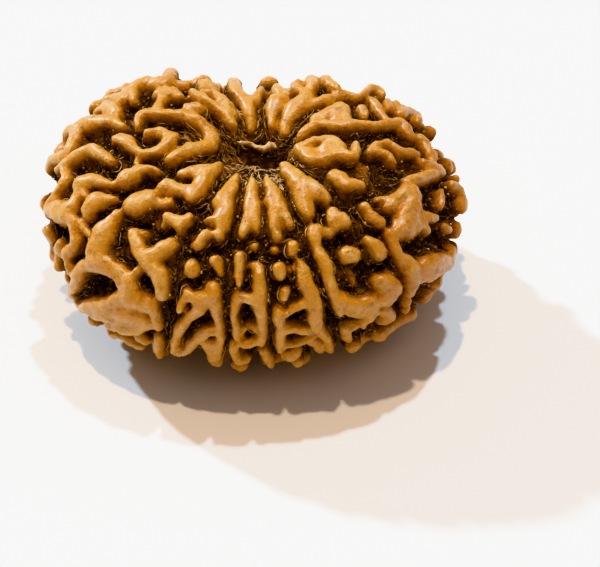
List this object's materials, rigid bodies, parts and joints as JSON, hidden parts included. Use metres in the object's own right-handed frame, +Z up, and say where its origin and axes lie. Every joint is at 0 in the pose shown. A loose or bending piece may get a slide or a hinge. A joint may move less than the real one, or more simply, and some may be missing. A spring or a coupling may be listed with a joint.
{
  "type": "rudraksha seed",
  "caption": "Oval woody seed stone with knobbed ridges between radial grooves and a dimpled hole at each pole; rests on flattened lower ridges.",
  "frame": {"origin": "under the middle of the seed, on the surface that it rests on", "axes": "+Z up along the line through the two poles, X along the longest side, -Y towards the viewer of the picture"},
  "size_m": [0.0342, 0.0284, 0.0171],
  "materials": {
    "seed_shell": "waxy natural shell"
  },
  "bodies": {
    "root": {"seed": "seed_shell"}
  },
  "joints": []
}
